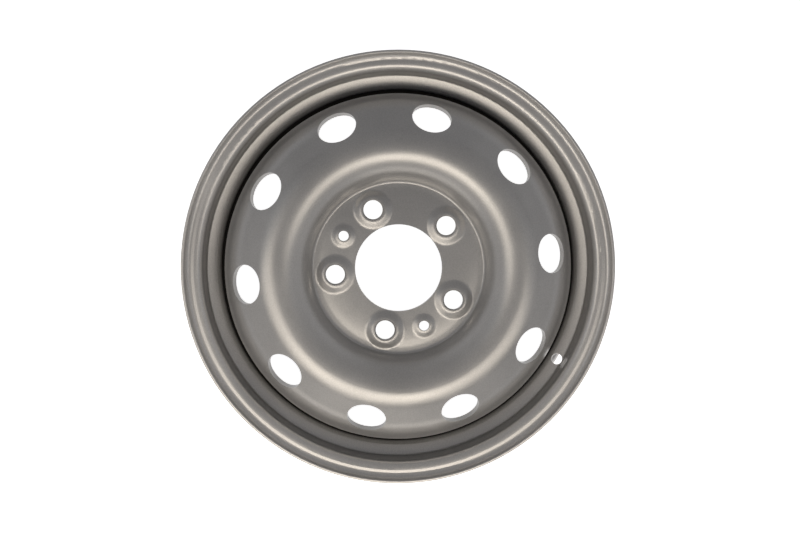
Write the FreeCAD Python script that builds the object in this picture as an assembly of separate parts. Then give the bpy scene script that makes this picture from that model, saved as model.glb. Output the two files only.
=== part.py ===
"""Pressed-steel disc wheel for a light van: a rolled rim, a pressed disc and the welds between them.

The origin is the centre of the hub mounting face. +Z runs along the axle, towards the outboard side.
The valve hole lies on +Y. Lengths are millimetres and angles are degrees.
"""
import FreeCAD, Part
import math
import os

from FreeCAD import Vector

# Rim: measured on the side that the tyre touches
BEAD_SEAT_DIAMETER = 405.6
RIM_WIDTH = 152.4
RIM_GAUGE = 3.0
FLANGE_HEIGHT = 17.3
FLANGE_LIP = 12.4
LIP_BEND = 6.0
HEEL_BEND = 6.0
BEAD_SEAT_WIDTH = 17.0
BEAD_SEAT_TAPER = 5.0
SEAT_BEND = 5.0
HUMP_RUN = 7.0
HUMP_RISE = 1.1
HUMP_BEND = 3.0
WELL_DEPTH = 17.3
WELL_WIDTH = 46.5
WELL_FROM_FLANGE = 30.5
WELL_BEND = 5.0
LEDGE_DEPTH = 3.2
LEDGE_FROM_FLANGE = 48.0
LEDGE_BEND = 12.0
RIM_EDGE_ROUND = 1.0
VALVE_HOLE_DIAMETER = 11.3

# Disc: measured on its outboard side
WHEEL_OFFSET = 66.0
DISC_GAUGE = 6.0
BORE_DIAMETER = 89.1
PLATE_RISE = 2.6
PLATE_SLOPE = 12.0
PLATE_BEND = 76.0
CONTACT_BEND = 8.0
CONTACT_WIDTH = 7.2
CREASE_FROM_BOSS = 4.4
CREASE_BEND = 7.5
WALL_ANGLE = 56.0
CROWN_HEIGHT = 29.5
CROWN_WIDTH = 22.0
CROWN_INNER_BEND = 16.0
CROWN_OUTER_BEND = 33.6
CONE_ANGLE = 27.0
SHOULDER_BEND = 38.9
FLANGE_IN_WELL = 22.0
FLANGE_CLEARANCE = 0.1
DISC_EDGE_ROUND = 0.6

# Bolt bosses and locating dimples, raised from the hub plate
BOLT_COUNT = 5
BOLT_CIRCLE = 130.0
BOLT_HOLE_DIAMETER = 19.5
BOLT_SEAT_WIDTH = 1.4
HOLE_EDGE = 0.4
BOSS_DIAMETER = 40.0
BOSS_TOP_DIAMETER = 24.0
BOSS_HEIGHT = 3.1
BOSS_ROOT = 0.5
LOCATING_CIRCLE = 130.0
LOCATING_HOLE_DIAMETER = 10.4
LOCATING_STEPS_FROM_VALVE = (1, 5)
DIMPLE_DIAMETER = 24.0
DIMPLE_TOP_DIAMETER = 13.0
DIMPLE_HEIGHT = 2.0
RECESS_LAND = 3.5

# Vents: ovals punched square to the cone
VENT_COUNT = 10
VENT_INSET = 26.7
VENT_LENGTH = 40.0
VENT_WIDTH = 33.3

# Welds between the disc's flange and the well, one between each pair of vents
WELD_LEG = 5.0
WELD_ARC = 20.0

# Places that follow from those sizes
BEAD_SEAT_RADIUS = BEAD_SEAT_DIAMETER / 2
MID_PLANE_Z = -WHEEL_OFFSET
WELL_RADIUS = BEAD_SEAT_RADIUS - WELL_DEPTH
WELL_INSIDE_RADIUS = WELL_RADIUS - RIM_GAUGE
WELL_OUTBOARD_Z = MID_PLANE_Z + RIM_WIDTH / 2 - WELL_FROM_FLANGE
HUMP_RADIUS = BEAD_SEAT_RADIUS - BEAD_SEAT_WIDTH * math.tan(math.radians(BEAD_SEAT_TAPER)) + HUMP_RISE
HUMP_FROM_FLANGE = BEAD_SEAT_WIDTH + HUMP_RUN
DISC_RADIUS = WELL_INSIDE_RADIUS - FLANGE_CLEARANCE
DISC_EDGE_Z = WELL_OUTBOARD_Z - FLANGE_IN_WELL
PLATE_Z = DISC_GAUGE + PLATE_RISE
CROWN_Z = DISC_GAUGE + CROWN_HEIGHT
CREASE_RADIUS = (BOLT_CIRCLE + BOSS_DIAMETER) / 2 + CREASE_FROM_BOSS
PLATE_FOOT_RADIUS = CREASE_RADIUS - CONTACT_WIDTH
PLATE_RADIUS = PLATE_FOOT_RADIUS - PLATE_RISE / math.tan(math.radians(PLATE_SLOPE))
WALL_TOP_RADIUS = CREASE_RADIUS + CROWN_HEIGHT / math.tan(math.radians(WALL_ANGLE))
CROWN_RADIUS = WALL_TOP_RADIUS + CROWN_WIDTH
VALVE_DIRECTION = 90.0
SMALLEST_RUN = 1e-6


def point(radius, z):
    """A point of a profile, in the plane of X and Z."""
    return Vector(radius, 0, z)


def line_crossing(start_a, along_a, start_b, along_b):
    """Where two lines in the profile plane cross."""
    gap = start_b - start_a
    share = (gap.x * along_b.z - gap.z * along_b.x) / (along_a.x * along_b.z - along_a.z * along_b.x)
    return start_a + along_a * share


def side_step(start, end, distance):
    """A step of that distance to the right of the way from start to end."""
    along = (end - start).normalize()
    return Vector(along.z, 0, -along.x) * distance


def turns_right(before, corner, after):
    """Whether a profile turns to the right at a corner."""
    first = corner - before
    second = after - corner
    return first.x * second.z - first.z * second.x < 0


def sheet_corners(corners, bends, gauge, edge_round):
    """The corners and corner radii of a sheet of one thickness that lies to the right of a line.

    A bend is given as its inside radius, so the other side of the sheet gets that radius and the gauge.
    """
    runs = list(zip(corners, corners[1:]))
    steps = [side_step(start, end, gauge) for start, end in runs]
    near = [edge_round]
    far = [edge_round]
    far_corners = [corners[0] + steps[0]]
    for index, bend in enumerate(bends, start=1):
        before, corner, after = corners[index - 1:index + 2]
        inside_is_far = turns_right(before, corner, after)
        near.append(bend + gauge if inside_is_far else bend)
        far.append(bend if inside_is_far else bend + gauge)
        far_corners.append(line_crossing(before + steps[index - 1], corner - before,
                                         corner + steps[index], after - corner))
    near.append(edge_round)
    far.append(edge_round)
    far_corners.append(corners[-1] + steps[-1])
    return corners + far_corners[::-1], near + far[::-1]


def rounded_face(corners, radii):
    """A face inside a closed outline whose corners are rounded by arcs.

    Where a run is too short for the arcs at its two ends, both shrink until they meet.
    """
    to_next = [after - corner for corner, after in zip(corners, corners[1:] + corners[:1])]
    half_angles = [(to_next[index - 1] * -1).getAngle(run) / 2 for index, run in enumerate(to_next)]
    reaches = [radius / math.tan(half) for radius, half in zip(radii, half_angles)]
    shares = [min(1.0, run.Length / (reach + next_reach))
              for run, reach, next_reach in zip(to_next, reaches, reaches[1:] + reaches[:1])]
    arcs = []
    for index, (corner, half_angle) in enumerate(zip(corners, half_angles)):
        reach = reaches[index] * min(shares[index - 1], shares[index])
        radius = reach * math.tan(half_angle)
        to_before = Vector(to_next[index - 1]).normalize() * -1
        to_after = Vector(to_next[index]).normalize()
        middle = (to_before + to_after).normalize() * (radius / math.sin(half_angle) - radius)
        arcs.append((corner + to_before * reach, corner + middle, corner + to_after * reach))
    edges = []
    for arc, next_arc in zip(arcs, arcs[1:] + arcs[:1]):
        edges.append(Part.Arc(*arc).toShape())
        if arc[2].distanceToPoint(next_arc[0]) > SMALLEST_RUN:
            edges.append(Part.LineSegment(arc[2], next_arc[0]).toShape())
    return Part.Face(Part.Wire(edges))


def turned(corners, radii):
    """A solid turned about the axle from a rounded profile."""
    return rounded_face(corners, radii).revolve(Vector(), Vector(0, 0, 1), 360)


def about_axle(shape, angle):
    """A copy of a shape turned about the axle."""
    return shape.rotated(Vector(), Vector(0, 0, 1), angle)


def cylinder(diameter, low, high, radius=0.0):
    """A cylinder parallel to the axle, that far out from it along X."""
    return Part.makeCylinder(diameter / 2, high - low, Vector(radius, 0, low))


def frustum(low_radius, low, high_radius, high, circle):
    """A cone parallel to the axle, on a circle of that diameter."""
    return Part.makeCone(low_radius, high_radius, high - low, Vector(circle / 2, 0, low))


def rim_half(side):
    """Corners of one edge of the rim, from its lip to its hump, on the tyre's side."""
    flange_z = RIM_WIDTH / 2
    crest_radius = BEAD_SEAT_RADIUS + FLANGE_HEIGHT
    seat_end_radius = HUMP_RADIUS - HUMP_RISE
    profile = [
        (crest_radius, flange_z + FLANGE_LIP),
        (crest_radius, flange_z),
        (BEAD_SEAT_RADIUS, flange_z),
        (seat_end_radius, flange_z - BEAD_SEAT_WIDTH),
        (HUMP_RADIUS, flange_z - HUMP_FROM_FLANGE),
    ]
    return [point(radius, MID_PLANE_Z + side * z) for radius, z in profile]


def valve_hole_cutter():
    """A drill square to the outboard side of the well, halfway up it."""
    hump = rim_half(1)[-1]
    foot = point(WELL_RADIUS, WELL_OUTBOARD_Z)
    into_well = side_step(hump, foot, 1.0)
    middle = (hump + foot) * 0.5
    drill_length = WELL_DEPTH
    start = middle - into_well * (drill_length / 2)
    return Part.makeCylinder(VALVE_HOLE_DIAMETER / 2, drill_length, start, into_well)


def make_rim():
    """The rolled hoop: lips, flanges, bead seats, humps, well and valve hole."""
    well_inboard_z = WELL_OUTBOARD_Z - WELL_WIDTH
    ledge_z = MID_PLANE_Z - RIM_WIDTH / 2 + LEDGE_FROM_FLANGE
    well = [
        point(WELL_RADIUS, WELL_OUTBOARD_Z),
        point(WELL_RADIUS, well_inboard_z),
        point(BEAD_SEAT_RADIUS - LEDGE_DEPTH, ledge_z),
    ]
    corners = rim_half(1) + well + rim_half(-1)[::-1]
    edge_bends = [LIP_BEND, HEEL_BEND, SEAT_BEND, HUMP_BEND]
    bends = edge_bends + [WELL_BEND, WELL_BEND, LEDGE_BEND] + edge_bends[::-1]
    hoop = turned(*sheet_corners(corners, bends, RIM_GAUGE, RIM_EDGE_ROUND))
    return hoop.cut(about_axle(valve_hole_cutter(), VALVE_DIRECTION))


def make_pressing():
    """The turned form of the disc, before anything is raised or punched in it.

    Its plate stands a little proud, so that the wheel bears on the flat ring round the plate.
    The plate reaches inside the bore, which is punched later.
    """
    corners = [
        point(BORE_DIAMETER / 4, PLATE_Z),
        point(PLATE_RADIUS, PLATE_Z),
        point(PLATE_FOOT_RADIUS, DISC_GAUGE),
        point(CREASE_RADIUS, DISC_GAUGE),
        point(WALL_TOP_RADIUS, CROWN_Z),
        point(CROWN_RADIUS, CROWN_Z),
        point(DISC_RADIUS, cone_z(DISC_RADIUS)),
        point(DISC_RADIUS, DISC_EDGE_Z),
    ]
    bends = [PLATE_BEND, CONTACT_BEND, CREASE_BEND, CROWN_INNER_BEND, CROWN_OUTER_BEND, SHOULDER_BEND]
    return turned(*sheet_corners(corners, bends, DISC_GAUGE, DISC_EDGE_ROUND))


def cone_z(radius):
    """The height of the outer cone that far from the axle."""
    return CROWN_Z - (radius - CROWN_RADIUS) * math.tan(math.radians(CONE_ANGLE))


def raised_boss(diameter, top_diameter, height, circle):
    """A cone raised from the hub plate, its flank carried down past the foot of the plate."""
    flank_run = (diameter - top_diameter) / 2
    foot_depth = PLATE_RISE + BOSS_ROOT
    foot_radius = diameter / 2 + flank_run * foot_depth / height
    return frustum(foot_radius, PLATE_Z - foot_depth, top_diameter / 2, PLATE_Z + height, circle)


def back_recess(diameter, top_diameter, height, circle):
    """The hollow that raising a boss leaves in the back of the hub plate."""
    mouth_radius = diameter / 2 - RECESS_LAND
    hollow = frustum(mouth_radius, PLATE_RISE, top_diameter / 2 - RECESS_LAND, PLATE_RISE + height, circle)
    return hollow.fuse(cylinder(2 * mouth_radius, -PLATE_RISE, PLATE_RISE, circle / 2))


def punched_hole(diameter, edge, top, circle=0.0):
    """A cutter for a hole through the hub plate, with its mouth opened by a narrow cone."""
    radius = diameter / 2
    hole = cylinder(diameter, -DISC_GAUGE, top, circle / 2)
    return hole.fuse(frustum(radius, top - edge, radius + edge, top, circle))


def vent_cutter():
    """An oval punch, square to the cone at the vents' circle."""
    tilt = math.radians(CONE_ANGLE)
    outward = Vector(math.sin(tilt), 0, math.cos(tilt))
    down_cone = Vector(math.cos(tilt), 0, -math.sin(tilt))
    vent_radius = DISC_RADIUS - VENT_INSET
    centre = point(vent_radius, cone_z(vent_radius))
    start = centre - outward * (2 * DISC_GAUGE)
    along = Vector(0, 1, 0)
    oval = Part.Ellipse(start + along * (VENT_LENGTH / 2), start + down_cone * (VENT_WIDTH / 2), start)
    return Part.Face(Part.Wire(oval.toShape())).extrude(outward * (4 * DISC_GAUGE))


def make_disc():
    """The pressed centre: plate, bosses, dimples, dish, crown, cone, vents and flange."""
    bolt_angles = [VALVE_DIRECTION + 360 / BOLT_COUNT * index for index in range(BOLT_COUNT)]
    locating_angles = [VALVE_DIRECTION - 180 / BOLT_COUNT * step for step in LOCATING_STEPS_FROM_VALVE]
    vent_angles = [VALVE_DIRECTION + 360 / VENT_COUNT * index for index in range(VENT_COUNT)]

    boss_sizes = (BOSS_DIAMETER, BOSS_TOP_DIAMETER, BOSS_HEIGHT, BOLT_CIRCLE)
    dimple_sizes = (DIMPLE_DIAMETER, DIMPLE_TOP_DIAMETER, DIMPLE_HEIGHT, LOCATING_CIRCLE)
    boss = raised_boss(*boss_sizes)
    dimple = raised_boss(*dimple_sizes)
    raised = [about_axle(boss, angle) for angle in bolt_angles]
    raised += [about_axle(dimple, angle) for angle in locating_angles]

    bolt_hole = punched_hole(BOLT_HOLE_DIAMETER, BOLT_SEAT_WIDTH, PLATE_Z + BOSS_HEIGHT, BOLT_CIRCLE)
    bolt_cut = bolt_hole.fuse(back_recess(*boss_sizes))
    locating_hole = punched_hole(LOCATING_HOLE_DIAMETER, HOLE_EDGE, PLATE_Z + DIMPLE_HEIGHT, LOCATING_CIRCLE)
    locating_cut = locating_hole.fuse(back_recess(*dimple_sizes))
    cuts = [punched_hole(BORE_DIAMETER, HOLE_EDGE, PLATE_Z)]
    cuts += [about_axle(bolt_cut, angle) for angle in bolt_angles]
    cuts += [about_axle(locating_cut, angle) for angle in locating_angles]
    cuts += [about_axle(vent_cutter(), angle) for angle in vent_angles]
    return make_pressing().multiFuse(raised).cut(cuts)


def make_weld_beads():
    """Fillet welds in the corner between the disc's flange edge and the well."""
    corner = point(WELL_INSIDE_RADIUS, DISC_EDGE_Z)
    on_disc = corner - Vector(WELD_LEG, 0, 0)
    on_well = corner - Vector(0, 0, WELD_LEG)
    bulge = (on_disc + on_well) * 0.5 - Vector(1, 0, 1) * (WELD_LEG / 10)
    edges = [
        Part.LineSegment(on_well, corner).toShape(),
        Part.LineSegment(corner, on_disc).toShape(),
        Part.Arc(on_disc, bulge, on_well).toShape(),
    ]
    bead = Part.Face(Part.Wire(edges)).revolve(Vector(), Vector(0, 0, 1), WELD_ARC)
    pitch = 360 / VENT_COUNT
    first = VALVE_DIRECTION + (pitch - WELD_ARC) / 2
    return Part.makeCompound([about_axle(bead, first + pitch * index) for index in range(VENT_COUNT)])


def main():
    os.makedirs("parts", exist_ok=True)
    make_rim().exportStep("parts/rim.step")
    make_disc().exportStep("parts/disc.step")
    make_weld_beads().exportStep("parts/weld_beads.step")


if __name__ == "__main__":
    main()
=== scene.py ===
"""Dresses the pressed-steel wheel: a painted rim, a pressed disc, weld beads and a small studio."""
import math

import bpy
from bpy.props import FloatProperty, FloatVectorProperty, IntProperty, PointerProperty
from mathutils import Matrix, Vector


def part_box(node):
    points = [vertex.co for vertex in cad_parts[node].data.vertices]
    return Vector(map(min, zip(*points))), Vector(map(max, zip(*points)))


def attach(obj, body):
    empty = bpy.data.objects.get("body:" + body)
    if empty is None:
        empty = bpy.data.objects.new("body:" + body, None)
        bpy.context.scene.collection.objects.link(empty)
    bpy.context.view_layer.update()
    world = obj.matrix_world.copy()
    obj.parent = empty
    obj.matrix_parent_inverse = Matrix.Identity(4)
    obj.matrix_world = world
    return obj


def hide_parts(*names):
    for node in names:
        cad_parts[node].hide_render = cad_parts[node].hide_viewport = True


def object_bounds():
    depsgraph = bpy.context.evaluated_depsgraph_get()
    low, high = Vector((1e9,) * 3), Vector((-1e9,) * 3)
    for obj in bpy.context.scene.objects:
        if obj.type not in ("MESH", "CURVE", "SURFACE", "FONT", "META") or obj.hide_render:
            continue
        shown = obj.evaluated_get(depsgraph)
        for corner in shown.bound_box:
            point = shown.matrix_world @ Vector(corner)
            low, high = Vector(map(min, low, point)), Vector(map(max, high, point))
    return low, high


bl_info = {
    "name": "Pressed-steel wheel",
    "version": (1, 0, 0),
    "blender": (4, 5, 0),
    "location": "View3D > Sidebar > Wheel",
    "description": "Paints a wheel's rim, presses its disc, lays its weld beads and sets up its studio",
    "category": "Object",
}

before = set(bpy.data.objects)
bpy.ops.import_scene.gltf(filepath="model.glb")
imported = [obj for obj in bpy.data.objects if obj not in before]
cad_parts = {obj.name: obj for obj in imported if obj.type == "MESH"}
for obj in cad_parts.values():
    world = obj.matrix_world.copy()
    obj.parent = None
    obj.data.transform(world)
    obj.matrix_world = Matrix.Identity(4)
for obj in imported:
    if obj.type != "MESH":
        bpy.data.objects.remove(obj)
CAD_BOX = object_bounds()
FLOOR_Z = CAD_BOX[0][2]
BODY = "root"
MERGE_DISTANCE = 1e-6
VALVE_TURN = math.pi / 2  # the valve hole lies on +Y

# Paint: which part of each noise is used, and how flakes, clouds, peel, dust and painted seam shade show.
FLAKE_RANGE = (0.35, 0.65)
CLOUD_RANGE = (0.3, 0.7)
SPECK_RANGE = (0.74, 0.8)
FLAKE_SHARE = 0.55
CLOUD_SHARE = 0.45
GLOSS_SPREAD = 0.04
PEEL_STRENGTH = 0.25
LACQUER_ROUGHNESS = 0.25
PLAIN_SHINE = 0.5
DUST_COLOUR = (0.62, 0.6, 0.57)
# Painted shade: a near-black, dull band in the seam between disc and rim, standing in for its shadow.
SEAM_SHADE_COLOUR = (0.015, 0.014, 0.013)
SEAM_SHADE_CORE = 0.55
RIM_COAT = {"cloud_scale": 9.0, "peel_depth": 0.00005, "dust": 0.25}
DISC_COAT = {"cloud_scale": 14.0, "peel_depth": 0.00004, "dust": 0.15}
WELD_COAT = {"cloud_scale": 40.0, "peel_depth": 0.0002, "dust": 0.4}
MIX_FIRST, MIX_SECOND, MIX_RESULT = 6, 7, 2  # a Mix node's colour sockets

# Disc: how far the bends round its hub plate reach, and how much of their room the crown's bends take.
PLATE_REACH = 0.0095
FOOT_REACH = 0.0012
CREASE_REACH = 0.0024
ARC_SHARE = 0.99
# Disc: how finely its mesh is divided.
PLATE_STEP = 0.0013
CONE_STEP = 0.0025
LEAST_SEGMENTS = 6
DISC_STEPS = 320
HOLE_SIDES = 74
EDGE_ANGLE = math.radians(35)
# Disc: its bosses, dimples and holes. Locating holes lie between bolts, in half steps from the valve.
FLANK_SOFTNESS = 0.25
BOSS_LEVEL = 1.0
DIMPLE_LEVEL = 0.5
HOLE_EDGE = 0.0004
LOCATING_STEPS = (1, 5)
DRILL_GAUGES = 3
PUNCH_GAUGES = 4

# Weld beads: the roundness of a bead's face, its ends and its mesh.
FACE_PULL = 0.36
FACE_ROUND = 0.3
FACE_STEPS = 4
END_SHARE = 0.3
STEPS_PER_RIPPLE = 6
BEAD_EDGE_ANGLE = math.radians(50)

# Studio: the camera, floor and sky.
PHOTO_WIDTH = 800
SENSOR_WIDTH = 36.0
MILLIMETRE = 0.001
AIM_Z = 0.0086  # the height that the camera and lamps aim at
PICTURE_MIDDLE = (0.0014, 0.0015)  # right and up of the axle
FLOOR_SIZE = 40
FLOOR_GREY = 0.8
FLOOR_ROUGHNESS = 0.9
SKY_HEIGHTS = (0.1, 0.62)  # where the horizon's light ends and the overhead light begins
FAR_SIDE = (0.75, 0.98)  # where the sky begins to dim and is dimmest, towards the picture's top
# Studio: the lamps. A lamp's turn is clockwise from the picture's top, and its lean is off the axle.
LAMP_DISTANCE = 0.9
KEY_LAMPS = [(math.radians(clock), share) for clock, share in ((140, 0.6), (192, 1.0), (244, 0.6))]
KEY_LEAN = math.radians(34.5)
KEY_SIZE = (0.55, 0.36)
LOW_TURN = math.radians(192)
LOW_LEAN = math.radians(79)
LOW_SIZE = (1.2, 0.3)
LEFT_TURN = math.radians(280)
RIGHT_TURN = math.radians(95)
SIDE_LEAN = math.radians(42)
SIDE_SIZE = (0.55, 0.4)
WARM = (1.0, 0.915, 0.79)
COOL = (0.75, 0.87, 1.0)
NEUTRAL = (0.9, 0.95, 1.0)


class PaintLook(bpy.types.PropertyGroup):
    """The satin silver paint."""
    # Rim and disc wear one silver paint; the rim's is set lighter than the disc's: painted light, matching
    # how bright each part looks.
    rim_colour: FloatVectorProperty(
        name="Rim paint", description="Main colour of the silver paint on the rim and welds",
        subtype="COLOR", size=3, min=0, max=1, default=(0.588, 0.575, 0.564))
    disc_colour: FloatVectorProperty(
        name="Disc paint", description="Main colour of the silver paint on the disc",
        subtype="COLOR", size=3, min=0, max=1, default=(0.47, 0.461, 0.454))
    flake_shade: FloatProperty(
        name="Flake shade",
        description="How bright the paint is between its metal flakes, as a share of its colour",
        subtype="FACTOR", min=0, max=1, default=0.77)
    metal: FloatProperty(
        name="Metal", description="How much of the paint's light comes off its metal flakes",
        subtype="FACTOR", min=0, max=1, default=0.56)
    roughness: FloatProperty(
        name="Roughness", description="How far the paint spreads a highlight",
        subtype="FACTOR", min=0, max=1, default=0.32)
    lacquer: FloatProperty(
        name="Lacquer", description="Weight of the clear coat over the silver",
        subtype="FACTOR", min=0, max=1, default=0.12)


class DiscSizes(bpy.types.PropertyGroup):
    """The pressed disc, measured on its outboard side."""
    gauge: FloatProperty(
        name="Gauge", description="Thickness of the sheet", unit="LENGTH", default=0.006)
    bore: FloatProperty(
        name="Bore", description="Radius of the centre bore", unit="LENGTH", default=0.04455)
    plate_height: FloatProperty(
        name="Plate height", description="How high the hub plate stands over the hub face",
        unit="LENGTH", default=0.0075)
    plate: FloatProperty(
        name="Plate", description="Radius at which the hub plate begins to fall",
        unit="LENGTH", default=0.067)
    foot: FloatProperty(
        name="Foot", description="Inner radius of the ring that bears on the hub",
        unit="LENGTH", default=0.0822)
    crease: FloatProperty(
        name="Crease", description="Radius of the crease round the hub plate",
        unit="LENGTH", default=0.0886)
    wall_angle: FloatProperty(
        name="Wall angle", description="Slope of the dish wall",
        subtype="ANGLE", unit="ROTATION", default=math.radians(74))
    crown_inner_bend: FloatProperty(
        name="Inner bend", description="Radius of the crown on its inner side",
        unit="LENGTH", default=0.037)
    crown_outer_bend: FloatProperty(
        name="Outer bend", description="Radius of the crown on its outer side",
        unit="LENGTH", default=0.0372)
    cone_angle: FloatProperty(
        name="Cone angle", description="Slope of the outer cone",
        subtype="ANGLE", unit="ROTATION", default=math.radians(27))
    shoulder_bend: FloatProperty(
        name="Shoulder", description="Radius of the bend between the cone and the flange",
        unit="LENGTH", default=0.046)
    bolt_circle: FloatProperty(
        name="Bolt circle", description="Radius of the circle of bolts and locating holes",
        unit="LENGTH", default=0.065)
    bolt_count: IntProperty(
        name="Bolts", description="How many bolts hold the wheel", subtype="UNSIGNED", min=1, default=5)
    bolt_hole: FloatProperty(
        name="Bolt hole", description="Radius of a bolt hole", unit="LENGTH", default=0.00975)
    bolt_seat: FloatProperty(
        name="Bolt seat", description="Width of a bolt hole's opened mouth", unit="LENGTH", default=0.0012)
    boss: FloatProperty(
        name="Boss", description="Radius of a bolt boss at its foot", unit="LENGTH", default=0.02)
    boss_top: FloatProperty(
        name="Boss top", description="Radius of a bolt boss at its top", unit="LENGTH", default=0.0125)
    boss_height: FloatProperty(
        name="Boss height", description="How far a boss stands out of the plate",
        unit="LENGTH", default=0.0029)
    locating_hole: FloatProperty(
        name="Locating hole", description="Radius of a locating hole", unit="LENGTH", default=0.0052)
    dimple: FloatProperty(
        name="Dimple", description="Radius of a locating dimple at its foot", unit="LENGTH", default=0.0125)
    dimple_top: FloatProperty(
        name="Dimple top", description="Radius of a locating dimple at its top",
        unit="LENGTH", default=0.0065)
    dimple_height: FloatProperty(
        name="Dimple height", description="How far a dimple stands out of the plate",
        unit="LENGTH", default=0.002)
    vent_count: IntProperty(
        name="Vents", description="How many vents the cone has", subtype="UNSIGNED", min=1, default=10)
    vent_inset: FloatProperty(
        name="Vent inset", description="From the disc's edge to the middle of a vent",
        unit="LENGTH", default=0.0267)
    vent_length: FloatProperty(
        name="Vent length", description="Length of a vent round the disc", unit="LENGTH", default=0.04)
    vent_width: FloatProperty(
        name="Vent width", description="Width of a vent down the cone", unit="LENGTH", default=0.0333)


class WeldSizes(bpy.types.PropertyGroup):
    """The fillet welds behind the disc."""
    well_radius: FloatProperty(
        name="Well radius", description="Inside radius of the rim's well, where the beads lie",
        unit="LENGTH", default=0.1825)
    count: IntProperty(
        name="Beads", description="How many beads hold the disc", subtype="UNSIGNED", min=1, default=10)
    arc: FloatProperty(
        name="Bead arc", description="How far one bead runs round the well",
        subtype="ANGLE", unit="ROTATION", default=math.radians(20))
    ripple: FloatProperty(
        name="Ripple", description="Length of one ripple along a bead",
        unit="LENGTH", default=0.0024)
    ripple_height: FloatProperty(
        name="Ripple height", description="How far a ripple stands out of its bead",
        unit="LENGTH", default=0.0004)


class StudioLook(bpy.types.PropertyGroup):
    """The camera, lamps and floor."""
    distance: FloatProperty(
        name="Camera distance", description="From the camera to the hub plate",
        unit="LENGTH", default=1.3)
    pixels_per_mm: FloatProperty(
        name="Picture scale", description="Pixels for each millimetre of the hub plate",
        unit="NONE", default=0.978)
    lean_up: FloatProperty(
        name="Lean up",
        description="How far the camera stands off the axle, towards the top of the picture",
        subtype="ANGLE", unit="ROTATION", default=math.radians(3.6))
    lean_left: FloatProperty(
        name="Lean left",
        description="How far the camera stands off the axle, towards the left of the picture",
        subtype="ANGLE", unit="ROTATION", default=math.radians(1.65))
    valve_clock: FloatProperty(
        name="Valve", description="Where the valve hole lies, clockwise from the top of the picture",
        subtype="ANGLE", unit="ROTATION", default=math.radians(120.3))
    key_power: FloatProperty(
        name="Key light", description="Power of the middle one of the warm main lamps",
        unit="POWER", default=2.05)
    side_power: FloatProperty(
        name="Side lights", description="Power of each side lamp",
        unit="POWER", default=0.13)
    low_power: FloatProperty(
        name="Low light", description="Power of the low lamp that lights the far walls",
        unit="POWER", default=0.9)
    sky: FloatVectorProperty(
        name="Overhead", description="Light from straight above",
        subtype="COLOR", size=3, min=0, max=1, default=(0.175, 0.18, 0.196))
    horizon: FloatVectorProperty(
        name="Horizon", description="Light from all round, at floor level",
        subtype="COLOR", size=3, min=0, max=1, default=(0.592, 0.595, 0.61))
    top_share: FloatProperty(
        name="Far side",
        description="Low light from beyond the picture's top, as a share of that from elsewhere",
        subtype="FACTOR", min=0, max=1, default=0.5)
    floor_glow: FloatProperty(
        name="Floor glow",
        description="Brightness of the white floor where the camera or a reflection sees it",
        subtype="FACTOR", min=0, max=1, default=0.93)


def add_node(tree, kind, at, **settings):
    """A node of that kind, with its own properties set."""
    node = tree.nodes.new(kind)
    node.location = at
    for name, value in settings.items():
        setattr(node, name, value)
    return node


def new_group(name, inputs, outputs):
    """An empty shader node group with named sockets, and its two ends."""
    tree = bpy.data.node_groups.new(name, "ShaderNodeTree")
    for socket, default in inputs.items():
        value = tree.interface.new_socket(socket, in_out="INPUT", socket_type="NodeSocketFloat")
        value.default_value = default
    for socket in outputs:
        tree.interface.new_socket(socket, in_out="OUTPUT", socket_type="NodeSocketFloat")
    return tree, add_node(tree, "NodeGroupInput", (-900, 0)), add_node(tree, "NodeGroupOutput", (600, 0))


def noise(tree, coordinates, scale, detail, at):
    """A noise texture on the piece's own coordinates."""
    node = add_node(tree, "ShaderNodeTexNoise", at)
    node.inputs["Detail"].default_value = detail
    tree.links.new(coordinates, node.inputs["Vector"])
    tree.links.new(scale, node.inputs["Scale"])
    return node.outputs["Fac"]


def spread(tree, value, low, high, to_low, to_high, at):
    """A value stretched from one range to another."""
    node = add_node(tree, "ShaderNodeMapRange", at)
    for name, number in (("From Min", low), ("From Max", high), ("To Min", to_low), ("To Max", to_high)):
        node.inputs[name].default_value = number
    tree.links.new(value, node.inputs["Value"])
    return node.outputs["Result"]


def combine(tree, operation, first, second, at):
    """Two values put through one sum."""
    node = add_node(tree, "ShaderNodeMath", at, operation=operation)
    for index, value in enumerate((first, second)):
        if isinstance(value, float):
            node.inputs[index].default_value = value
        else:
            tree.links.new(value, node.inputs[index])
    return node.outputs["Value"]


def paint_grain_group():
    """Metal flakes, and the orange peel of sprayed paint."""
    tree, start, end = new_group(
        "Paint grain", {"Flake Scale": 900.0, "Peel Scale": 260.0}, ("Flake", "Peel"))
    place = add_node(tree, "ShaderNodeTexCoord", (-900, -250)).outputs["Object"]
    flake = noise(tree, place, start.outputs["Flake Scale"], detail=2.0, at=(-600, 150))
    tree.links.new(spread(tree, flake, *FLAKE_RANGE, 0.0, 1.0, (-300, 150)), end.inputs["Flake"])
    peel = noise(tree, place, start.outputs["Peel Scale"], detail=3.0, at=(-600, -150))
    tree.links.new(peel, end.inputs["Peel"])
    return tree


def uneven_coat_group():
    """Where the spray lies thicker or thinner, in soft clouds and fine specks of dust."""
    tree, start, end = new_group(
        "Uneven coat", {"Cloud Scale": 14.0, "Speck Scale": 420.0}, ("Cloud", "Speck"))
    place = add_node(tree, "ShaderNodeTexCoord", (-900, -250)).outputs["Object"]
    cloud = noise(tree, place, start.outputs["Cloud Scale"], detail=4.0, at=(-600, 150))
    tree.links.new(spread(tree, cloud, *CLOUD_RANGE, 0.0, 1.0, (-300, 150)), end.inputs["Cloud"])
    speck = noise(tree, place, start.outputs["Speck Scale"], detail=1.0, at=(-600, -150))
    tree.links.new(spread(tree, speck, *SPECK_RANGE, 0.0, 1.0, (-300, -150)), end.inputs["Speck"])
    return tree


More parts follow.
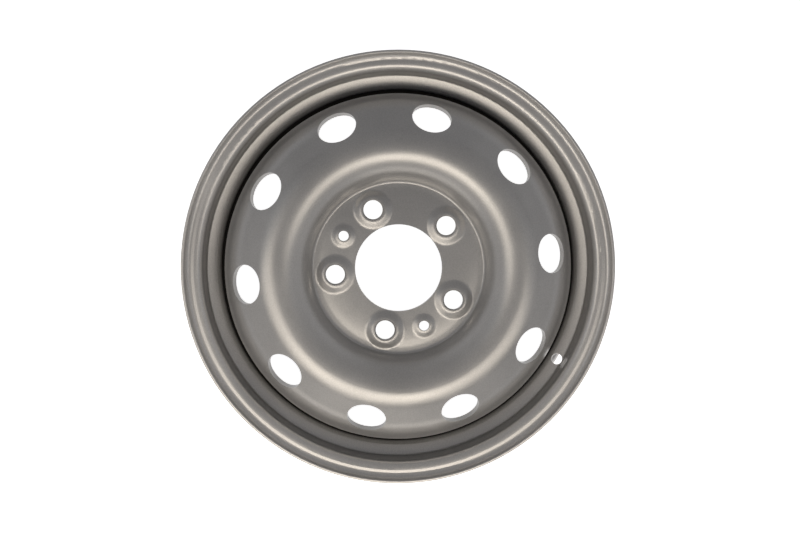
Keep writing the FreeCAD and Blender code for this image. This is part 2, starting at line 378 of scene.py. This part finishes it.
def seam_shade_group():
    """Painted shade: a dark band round the axle in the seam where the disc goes into the rim."""
    tree, start, end = new_group(
        "Painted seam shade", {"Radius": 0.1797, "Width": 0.0055, "Top": 0.0005}, ("Painted Shade",))
    place = add_node(tree, "ShaderNodeTexCoord", (-900, -250)).outputs["Object"]
    split = add_node(tree, "ShaderNodeSeparateXYZ", (-700, -250))
    tree.links.new(place, split.inputs["Vector"])
    flat = add_node(tree, "ShaderNodeCombineXYZ", (-500, -250))
    tree.links.new(split.outputs["X"], flat.inputs["X"])
    tree.links.new(split.outputs["Y"], flat.inputs["Y"])
    reach = add_node(tree, "ShaderNodeVectorMath", (-300, -250), operation="LENGTH")
    tree.links.new(flat.outputs["Vector"], reach.inputs["Vector"])
    off = combine(tree, "SUBTRACT", reach.outputs["Value"], start.outputs["Radius"], (-100, -250))
    share = combine(tree, "DIVIDE", combine(tree, "ABSOLUTE", off, 0.0, (100, -250)),
                    start.outputs["Width"], (250, -250))
    band = spread(tree, share, SEAM_SHADE_CORE, 1.0, 1.0, 0.0, (400, -250))
    below = combine(tree, "LESS_THAN", split.outputs["Z"], start.outputs["Top"], (-300, 150))
    tree.links.new(combine(tree, "MULTIPLY", band, below, (500, 100)), end.inputs["Painted Shade"])
    return tree


def use_group(tree, name, build, values, at):
    """A shared group placed in a material with its own values, built when it is first asked for."""
    node = add_node(tree, "ShaderNodeGroup", at)
    node.node_tree = bpy.data.node_groups.get(name) or build()
    for socket, value in values.items():
        node.inputs[socket].default_value = value
    return node.outputs


def blend_colours(tree, mask, first, second, at):
    """A colour between two, picked by a mask."""
    node = add_node(tree, "ShaderNodeMix", at, data_type="RGBA")
    tree.links.new(mask, node.inputs["Factor"])
    for index, colour in ((MIX_FIRST, first), (MIX_SECOND, second)):
        if isinstance(colour, bpy.types.NodeSocket):
            tree.links.new(colour, node.inputs[index])
        else:
            node.inputs[index].default_value = (*colour, 1.0)
    return node.outputs[MIX_RESULT]


def silver_paint(name, look, colour, cloud_scale, peel_depth, dust):
    """Silver wheel paint: flakes under a thin clear coat, a little uneven, and painted shade in the disc's
    seam.
    """
    material = bpy.data.materials.new(name)
    material.use_nodes = True
    tree = material.node_tree
    shader = tree.nodes["Principled BSDF"]
    grain = use_group(tree, "Paint grain", paint_grain_group, {}, (-1100, 200))
    coat = use_group(tree, "Uneven coat", uneven_coat_group, {"Cloud Scale": cloud_scale}, (-1100, -200))
    # Painted shade in the seam between disc and rim: darkens the colour and takes the metal, coat and shine
    # away.
    seam_shade = use_group(tree, "Painted seam shade", seam_shade_group, {}, (-1100, 500))["Painted Shade"]

    tone = combine(tree, "ADD", combine(tree, "MULTIPLY", grain["Flake"], FLAKE_SHARE, (-850, 300)),
                   combine(tree, "MULTIPLY", coat["Cloud"], CLOUD_SHARE, (-850, 100)), (-650, 200))
    shade = [channel * look.flake_shade for channel in colour]
    silver = blend_colours(tree, tone, shade, colour, (-450, 250))
    dusty = combine(tree, "MULTIPLY", coat["Speck"], dust, (-650, -50))
    speckled = blend_colours(tree, dusty, silver, DUST_COLOUR, (-250, 350))
    seam_shaded = blend_colours(tree, seam_shade, speckled, SEAM_SHADE_COLOUR, (-50, 250))
    tree.links.new(seam_shaded, shader.inputs["Base Color"])

    # Outside the painted seam shade, the paint keeps its full metal, coat and shine.
    outside_seam_shade = combine(tree, "SUBTRACT", 1.0, seam_shade, (-650, 550))
    shine = {"Metallic": look.metal, "Coat Weight": look.lacquer, "Specular IOR Level": PLAIN_SHINE}
    for row, (socket, value) in enumerate(shine.items()):
        dulled = combine(tree, "MULTIPLY", outside_seam_shade, value, (-250, 550 + 150 * row))
        tree.links.new(dulled, shader.inputs[socket])
    gloss = spread(tree, coat["Cloud"], 0.0, 1.0,
                   look.roughness - GLOSS_SPREAD, look.roughness + GLOSS_SPREAD, (-450, -50))
    tree.links.new(gloss, shader.inputs["Roughness"])
    shader.inputs["Coat Roughness"].default_value = LACQUER_ROUGHNESS

    bump = add_node(tree, "ShaderNodeBump", (-250, -250))
    bump.inputs["Strength"].default_value = PEEL_STRENGTH
    bump.inputs["Distance"].default_value = peel_depth
    tree.links.new(grain["Peel"], bump.inputs["Height"])
    tree.links.new(bump.outputs["Normal"], shader.inputs["Normal"])
    return material


def coat_node(node, material):
    """Puts a finish on every slot of a CAD piece."""
    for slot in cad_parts[node].material_slots:
        slot.material = material


class WHEEL_OT_paint_rim(bpy.types.Operator):
    """Paint the rolled rim"""
    bl_idname = "wheel.paint_rim"
    bl_label = "Paint rim"

    def execute(self, context):
        look = context.scene.wheel_paint
        coat_node("rim", silver_paint("Rim paint", look, look.rim_colour, **RIM_COAT))
        return {"FINISHED"}


def select_vertices(piece, wanted):
    """Selects, in edit mode, only the vertices whose place passes a test."""
    bpy.ops.mesh.select_all(action="DESELECT")
    bpy.ops.object.mode_set(mode="OBJECT")
    for vertex in piece.data.vertices:
        vertex.select = wanted(vertex.co)
    bpy.ops.object.mode_set(mode="EDIT")


def join_pieces(pieces):
    """One object made of several, the first of them."""
    bpy.ops.object.select_all(action="DESELECT")
    for piece in pieces:
        piece.select_set(True)
    bpy.context.view_layer.objects.active = pieces[0]
    bpy.ops.object.transform_apply(location=True, rotation=True, scale=True)
    bpy.ops.object.join()
    return pieces[0]


def copies_round_axle(piece, turns):
    """One object made of a piece and its copies, each turned about the axle."""
    copies = [piece]
    for _ in turns[1:]:
        copy = piece.copy()
        copy.data = piece.data.copy()
        bpy.context.collection.objects.link(copy)
        copies.append(copy)
    for copy, turn in zip(copies, turns):
        copy.matrix_world = Matrix.Rotation(turn, 4, "Z") @ copy.matrix_world
    return join_pieces(copies)


def turns_from_valve(count):
    """Even steps round the axle, the first at the valve hole."""
    return [VALVE_TURN + 2 * math.pi / count * index for index in range(count)]


def crown_lines(sizes):
    """Radii where the wall's and the cone's lines meet the crown's height, each with its bend's reach."""
    crown_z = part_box("disc")[1][2]
    wall_top = sizes.crease + (crown_z - sizes.gauge) / math.tan(sizes.wall_angle)
    inner_reach = sizes.crown_inner_bend * math.tan(sizes.wall_angle / 2)
    outer_reach = sizes.crown_outer_bend * math.tan(sizes.cone_angle / 2)
    return (wall_top, inner_reach), (wall_top + inner_reach + outer_reach, outer_reach)


def cone_height(sizes, radius):
    """The height of the cone's line at a radius."""
    crown_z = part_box("disc")[1][2]
    _, (cone_top, _) = crown_lines(sizes)
    return crown_z - (radius - cone_top) * math.tan(sizes.cone_angle)


def disc_corners(sizes):
    """The corners of the disc's outboard side from bore to flange edge: radius, height, bend's reach."""
    low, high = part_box("disc")
    edge, crown_z = high[0], high[2]
    (wall_top, inner_reach), (cone_top, outer_reach) = crown_lines(sizes)
    shoulder_reach = sizes.shoulder_bend * math.tan((math.pi / 2 - sizes.cone_angle) / 2)
    return [
        (sizes.bore, sizes.plate_height, 0.0),
        (sizes.plate, sizes.plate_height, PLATE_REACH),
        (sizes.foot, sizes.gauge, FOOT_REACH),
        (sizes.crease, sizes.gauge, CREASE_REACH),
        (wall_top, crown_z, inner_reach * ARC_SHARE),
        (cone_top, crown_z, outer_reach * ARC_SHARE),
        (edge, cone_height(sizes, edge), shoulder_reach),
        (edge, low[2], 0.0),
    ]


def mesh_step(place, sizes):
    """How finely the disc is divided there: the hub plate, with its bosses, finer than the rest."""
    return PLATE_STEP if place.x < sizes.crease else CONE_STEP


def split_runs(piece, sizes):
    """Cuts the straight runs of the disc's profile into short ones."""
    bpy.ops.object.mode_set(mode="OBJECT")
    vertices = piece.data.vertices
    runs = [[vertices[index].co.copy() for index in edge.vertices] for edge in piece.data.edges]
    bpy.ops.object.mode_set(mode="EDIT")
    for start, end in runs:
        cuts = round((end - start).length / mesh_step((start + end) / 2, sizes)) - 1
        if cuts > 0:
            select_vertices(
                piece, lambda spot: min((spot - start).length, (spot - end).length) < MERGE_DISTANCE)
            bpy.ops.mesh.subdivide(number_cuts=cuts)


def press_profile(sizes):
    """The disc's outboard side, drawn as a line with rounded corners and turned about the axle."""
    corners = disc_corners(sizes)
    places = [Vector((radius, 0, z)) for radius, z, _ in corners]
    bpy.ops.object.select_all(action="DESELECT")
    bpy.ops.mesh.primitive_plane_add(size=sizes.gauge)
    disc = bpy.context.object
    bpy.ops.object.mode_set(mode="EDIT")
    bpy.ops.mesh.select_all(action="SELECT")
    bpy.ops.mesh.merge(type="CENTER")
    bpy.ops.transform.translate(value=places[0])
    for start, end in zip(places, places[1:]):
        bpy.ops.mesh.extrude_region_move(TRANSFORM_OT_translate={"value": end - start})
    for place, (_, _, reach) in zip(places, corners):
        if reach:
            select_vertices(disc, lambda spot: (spot - place).length < MERGE_DISTANCE)
            segments = max(LEAST_SEGMENTS, round(2 * reach / mesh_step(place, sizes)))
            bpy.ops.mesh.bevel(affect="VERTICES", offset=reach, segments=segments)
    split_runs(disc, sizes)
    bpy.ops.mesh.select_all(action="SELECT")
    bpy.ops.mesh.spin(steps=DISC_STEPS, angle=2 * math.pi, center=(0, 0, 0), axis=(0, 0, 1))
    bpy.ops.mesh.select_all(action="SELECT")
    bpy.ops.mesh.remove_doubles(threshold=MERGE_DISTANCE)
    bpy.ops.mesh.normals_make_consistent(inside=False)
    bpy.ops.object.mode_set(mode="OBJECT")
    if disc.data.polygons[0].normal.z < 0:
        disc.data.flip_normals()
    return disc


def raise_round(plate, sizes, middle, foot, top, rise, level):
    """Raises a round boss out of both sides of the hub plate. Its top is levelled by a share."""
    for vertex in plate:
        reach = math.hypot(vertex.co.x - middle.x, vertex.co.y - middle.y)
        if reach < foot:
            share = min(1.0, (foot - reach) / (foot - top))
            soft = share + FLANK_SOFTNESS * (share * share * (3 - 2 * share) - share)
            outboard = vertex.co.z > sizes.plate_height / 2
            side_z = sizes.plate_height if outboard else sizes.plate_height - sizes.gauge
            vertex.co.z += (rise + (side_z - vertex.co.z) * level) * soft


def hole_cutter(sizes, radius, seat, top):
    """A drill for a hole in the hub plate. Its mouth opens from the seat's depth to beyond the top."""
    depth = DRILL_GAUGES * sizes.gauge
    bpy.ops.object.select_all(action="DESELECT")
    bpy.ops.mesh.primitive_cylinder_add(
        vertices=HOLE_SIDES, radius=radius, depth=depth,
        location=(sizes.bolt_circle, 0, top - seat - depth / 2))
    cutter = bpy.context.object
    bpy.ops.object.mode_set(mode="EDIT")
    select_vertices(cutter, lambda spot: spot.z > 0)
    for rise, widen in ((2 * seat, (radius + 2 * seat) / radius), (sizes.gauge, 1.0)):
        bpy.ops.mesh.extrude_region_move(TRANSFORM_OT_translate={"value": (0, 0, rise)})
        bpy.ops.transform.resize(value=(widen, widen, 1), center_override=(sizes.bolt_circle, 0, 0))
    bpy.ops.object.mode_set(mode="OBJECT")
    return cutter


def vent_cutter(sizes):
    """An oval punch, square to the cone."""
    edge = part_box("disc")[1][0]
    radius = edge - sizes.vent_inset
    bpy.ops.object.select_all(action="DESELECT")
    bpy.ops.mesh.primitive_cylinder_add(
        vertices=HOLE_SIDES, radius=1, depth=PUNCH_GAUGES * sizes.gauge,
        location=(radius, 0, cone_height(sizes, radius)), rotation=(0, sizes.cone_angle, 0),
        scale=(sizes.vent_width / 2, sizes.vent_length / 2, 1))
    return bpy.context.object


class WHEEL_OT_press_disc(bpy.types.Operator):
    """Press, punch and paint the disc"""
    bl_idname = "wheel.press_disc"
    bl_label = "Press disc"

    def execute(self, context):
        sizes = context.scene.wheel_disc
        disc = press_profile(sizes)
        bolt_turns = turns_from_valve(sizes.bolt_count)
        locating_turns = [VALVE_TURN - math.pi / sizes.bolt_count * step for step in LOCATING_STEPS]
        sheet = disc.modifiers.new("Sheet", "SOLIDIFY")
        sheet.thickness = sizes.gauge
        sheet.offset = -1
        sheet.use_even_offset = True
        bpy.ops.object.modifier_apply(modifier=sheet.name)

        bosses = [(turn, sizes.boss, sizes.boss_top, sizes.boss_height, BOSS_LEVEL) for turn in bolt_turns]
        dimples = [(turn, sizes.dimple, sizes.dimple_top, sizes.dimple_height, DIMPLE_LEVEL)
                   for turn in locating_turns]
        plate = [vertex for vertex in disc.data.vertices
                 if math.hypot(vertex.co.x, vertex.co.y) < sizes.crease]
        for turn, foot, top, rise, level in bosses + dimples:
            middle = Vector((math.cos(turn), math.sin(turn), 0)) * sizes.bolt_circle
            raise_round(plate, sizes, middle, foot, top, rise, level)

        boss_z = sizes.plate_height + sizes.boss_height
        dimple_z = sizes.plate_height + sizes.dimple_height
        cutter = join_pieces([
            copies_round_axle(hole_cutter(sizes, sizes.bolt_hole, sizes.bolt_seat, boss_z), bolt_turns),
            copies_round_axle(hole_cutter(sizes, sizes.locating_hole, HOLE_EDGE, dimple_z), locating_turns),
            copies_round_axle(vent_cutter(sizes), turns_from_valve(sizes.vent_count)),
        ])
        holes = disc.modifiers.new("Holes", "BOOLEAN")
        holes.object = cutter
        holes.operation = "DIFFERENCE"
        holes.solver = "EXACT"
        bpy.ops.object.select_all(action="DESELECT")
        disc.select_set(True)
        context.view_layer.objects.active = disc
        bpy.ops.object.modifier_apply(modifier=holes.name)
        bpy.data.objects.remove(cutter)
        bpy.ops.object.mode_set(mode="EDIT")
        bpy.ops.mesh.select_all(action="SELECT")
        bpy.ops.mesh.remove_doubles(threshold=MERGE_DISTANCE)
        bpy.ops.mesh.normals_make_consistent(inside=False)
        bpy.ops.object.mode_set(mode="OBJECT")
        bpy.ops.object.shade_smooth_by_angle(angle=EDGE_ANGLE)

        disc.name = "Disc"
        look = context.scene.wheel_paint
        disc.data.materials.append(silver_paint("Disc paint", look, look.disc_colour, **DISC_COAT))
        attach(disc, BODY)
        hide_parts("disc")
        return {"FINISHED"}


def bead_section(corner, leg):
    """A fillet weld's cross-section in the plane of X and Z, with a rounded face."""
    bpy.ops.object.select_all(action="DESELECT")
    bpy.ops.mesh.primitive_plane_add(size=leg, rotation=(math.pi / 2, 0, 0))
    section = bpy.context.object
    section.location = corner - Vector((leg / 2, 0, leg / 2))
    bpy.ops.object.transform_apply(location=True, rotation=True, scale=True)
    bpy.ops.object.mode_set(mode="EDIT")
    outer = corner - Vector((leg, 0, leg))
    select_vertices(section, lambda place: (place - outer).length < leg / 4)
    pull = leg * FACE_PULL
    bpy.ops.transform.translate(value=(pull, 0, pull))
    bpy.ops.mesh.bevel(affect="VERTICES", offset=leg * FACE_ROUND, segments=FACE_STEPS)
    bpy.ops.mesh.select_all(action="SELECT")
    bpy.ops.mesh.delete(type="ONLY_FACE")
    return section


def bead_swell(place, sizes, length, leg):
    """How large the bead's section is at a point along it: rounded ends, and a ripple for each dab."""
    end_reach = min(place, length - place) / sizes.ripple
    end = math.sqrt(max(0.0, 1 - (1 - min(end_reach, 1.0)) ** 2))
    dab = abs(math.sin(math.pi * place / sizes.ripple))
    return (END_SHARE + (1 - END_SHARE) * end) * (1 + dab * sizes.ripple_height / leg)


class WHEEL_OT_lay_welds(bpy.types.Operator):
    """Lay the rippled weld beads behind the disc"""
    bl_idname = "wheel.lay_welds"
    bl_label = "Lay welds"

    def execute(self, context):
        sizes = context.scene.wheel_weld
        low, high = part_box("weld_beads")
        leg = high[2] - low[2]
        corner = Vector((sizes.well_radius, 0, high[2]))
        bead = bead_section(corner, leg)
        length = sizes.well_radius * sizes.arc
        steps = round(length / sizes.ripple) * STEPS_PER_RIPPLE
        bpy.ops.mesh.select_all(action="SELECT")
        bpy.ops.mesh.spin(steps=steps, angle=sizes.arc, center=(0, 0, 0), axis=(0, 0, 1))
        bpy.ops.mesh.select_all(action="SELECT")
        bpy.ops.mesh.remove_doubles(threshold=MERGE_DISTANCE)
        bpy.ops.mesh.fill_holes(sides=0)
        bpy.ops.mesh.select_all(action="SELECT")
        bpy.ops.mesh.normals_make_consistent(inside=False)
        bpy.ops.object.mode_set(mode="OBJECT")
        for vertex in bead.data.vertices:
            turn = abs(math.atan2(vertex.co.y, vertex.co.x))
            reach = math.hypot(vertex.co.x, vertex.co.y)
            swell = bead_swell(turn * sizes.well_radius, sizes, length, leg)
            new_reach = corner.x - (corner.x - reach) * swell
            vertex.co.x *= new_reach / reach
            vertex.co.y *= new_reach / reach
            vertex.co.z = corner.z - (corner.z - vertex.co.z) * swell
        bpy.ops.object.shade_smooth_by_angle(angle=BEAD_EDGE_ANGLE)

        # A bead runs clockwise from its start, and its middle lies halfway between two vents.
        start = math.pi / sizes.count + sizes.arc / 2
        copies_round_axle(bead, [turn + start for turn in turns_from_valve(sizes.count)])
        bead.name = "Weld_beads"
        look = context.scene.wheel_paint
        bead.data.materials.append(silver_paint("Weld paint", look, look.rim_colour, **WELD_COAT))
        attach(bead, BODY)
        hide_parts("weld_beads")
        return {"FINISHED"}


def picture_axes(studio):
    """The picture's right and up, as directions in the wheel's plane."""
    clock = studio.valve_clock
    up = Vector((-math.sin(clock), math.cos(clock), 0))
    return Vector((up.y, -up.x, 0)), up


def aim(thing, place, target, up):
    """Puts a camera or lamp in its place, looking at a target."""
    back = (place - target).normalized()
    right = up.cross(back).normalized()
    turn = Matrix((right, back.cross(right), back)).transposed()
    thing.matrix_world = Matrix.Translation(place) @ turn.to_4x4()


def add_lamp(name, place, target, up, size, power, colour):
    """A soft lamp of a given width and height."""
    bpy.ops.object.light_add(type="AREA")
    lamp = bpy.context.object
    lamp.name = name
    lamp.data.shape = "RECTANGLE"
    lamp.data.size, lamp.data.size_y = size
    lamp.data.energy = power
    lamp.data.color = colour
    aim(lamp, place, target, up)


def white_floor(studio):
    """A floor that looks white and still takes the wheel's shadow."""
    material = bpy.data.materials.new("White floor")
    material.use_nodes = True
    tree = material.node_tree
    shader = tree.nodes["Principled BSDF"]
    shader.inputs["Base Color"].default_value = (FLOOR_GREY, FLOOR_GREY, FLOOR_GREY, 1)
    shader.inputs["Roughness"].default_value = FLOOR_ROUGHNESS
    shader.inputs["Emission Color"].default_value = (1, 1, 1, 1)
    rays = add_node(tree, "ShaderNodeLightPath", (-900, -300)).outputs
    seen = combine(tree, "MAXIMUM", rays["Is Camera Ray"], rays["Is Glossy Ray"], (-650, -300))
    seen = combine(tree, "MAXIMUM", seen, rays["Is Transmission Ray"], (-450, -300))
    glow = combine(tree, "MULTIPLY", seen, studio.floor_glow, (-250, -300))
    tree.links.new(glow, shader.inputs["Emission Strength"])
    return material


def studio_sky(studio, up):
    """Even light, brighter at the horizon than straight above, and dim low down at the picture's top."""
    world = bpy.data.worlds.new("Studio")
    world.use_nodes = True
    tree = world.node_tree
    background = tree.nodes["Background"].inputs
    place = add_node(tree, "ShaderNodeTexCoord", (-900, 0)).outputs["Generated"]
    split = add_node(tree, "ShaderNodeSeparateXYZ", (-700, 0))
    tree.links.new(place, split.inputs["Vector"])
    height = spread(tree, split.outputs["Z"], *SKY_HEIGHTS, 0.0, 1.0, (-500, 0))
    light = blend_colours(tree, height, studio.horizon, studio.sky, (-300, 0))
    tree.links.new(light, background["Color"])
    towards_top = add_node(tree, "ShaderNodeVectorMath", (-700, -250), operation="DOT_PRODUCT")
    tree.links.new(place, towards_top.inputs[0])
    towards_top.inputs[1].default_value = up
    dimmed = spread(tree, towards_top.outputs["Value"], *FAR_SIDE, 1.0, studio.top_share, (-450, -250))
    tree.links.new(dimmed, background["Strength"])
    return world


class WHEEL_OT_set_stage(bpy.types.Operator):
    """Set the floor, lamps and camera"""
    bl_idname = "wheel.set_stage"
    bl_label = "Set stage"

    def execute(self, context):
        scene = context.scene
        studio = scene.wheel_studio
        scene.view_settings.view_transform = "Standard"
        right, up = picture_axes(studio)
        scene.world = studio_sky(studio, up)

        bpy.ops.object.select_all(action="DESELECT")
        bpy.ops.mesh.primitive_plane_add(size=FLOOR_SIZE, location=(0, 0, FLOOR_Z))
        floor = context.object
        floor.name = "Floor"
        floor.data.materials.append(white_floor(studio))

        axle = Vector((0, 0, 1))
        hub = Vector((0, 0, AIM_Z))
        middle = hub + right * PICTURE_MIDDLE[0] + up * PICTURE_MIDDLE[1]
        to_camera = axle + up * math.tan(studio.lean_up) - right * math.tan(studio.lean_left)
        bpy.ops.object.camera_add()
        camera = context.object
        camera.name = "Camera"
        camera.data.sensor_width = SENSOR_WIDTH
        picture_span = PHOTO_WIDTH / studio.pixels_per_mm * MILLIMETRE
        camera.data.lens = SENSOR_WIDTH * studio.distance / picture_span
        aim(camera, middle + to_camera.normalized() * studio.distance, middle, up)
        scene.camera = camera

        lamps = [("Key light", turn, KEY_LEAN, KEY_SIZE, share * studio.key_power, WARM)
                 for turn, share in KEY_LAMPS]
        lamps.append(("Left light", LEFT_TURN, SIDE_LEAN, SIDE_SIZE, studio.side_power, COOL))
        lamps.append(("Right light", RIGHT_TURN, SIDE_LEAN, SIDE_SIZE, studio.side_power, NEUTRAL))
        lamps.append(("Low light", LOW_TURN, LOW_LEAN, LOW_SIZE, studio.low_power, WARM))
        for name, turn, lean, size, power, colour in lamps:
            out = up * math.cos(turn) + right * math.sin(turn)
            way = axle * math.cos(lean) + out * math.sin(lean)
            add_lamp(name, hub + way * LAMP_DISTANCE, hub, out, size, power, colour)
        return {"FINISHED"}


class WHEEL_PT_pieces(bpy.types.Panel):
    """The wheel's pieces and studio"""
    bl_idname = "WHEEL_PT_pieces"
    bl_label = "Wheel"
    bl_space_type = "VIEW_3D"
    bl_region_type = "UI"
    bl_category = "Wheel"

    def draw(self, context):
        for operator in OPERATORS:
            self.layout.operator(operator.bl_idname)


OPERATORS = (WHEEL_OT_paint_rim, WHEEL_OT_press_disc, WHEEL_OT_lay_welds, WHEEL_OT_set_stage)
SETTINGS = {
    "wheel_paint": PaintLook,
    "wheel_disc": DiscSizes,
    "wheel_weld": WeldSizes,
    "wheel_studio": StudioLook,
}
CLASSES = (*SETTINGS.values(), *OPERATORS, WHEEL_PT_pieces)


def register():
    for kind in CLASSES:
        bpy.utils.register_class(kind)
    for name, kind in SETTINGS.items():
        setattr(bpy.types.Scene, name, PointerProperty(type=kind))


def unregister():
    for name in SETTINGS:
        delattr(bpy.types.Scene, name)
    for kind in reversed(CLASSES):
        bpy.utils.unregister_class(kind)


def main():
    register()
    bpy.ops.wheel.paint_rim()
    bpy.ops.wheel.press_disc()
    bpy.ops.wheel.lay_welds()
    bpy.ops.wheel.set_stage()


if __name__ == "__main__":
    main()
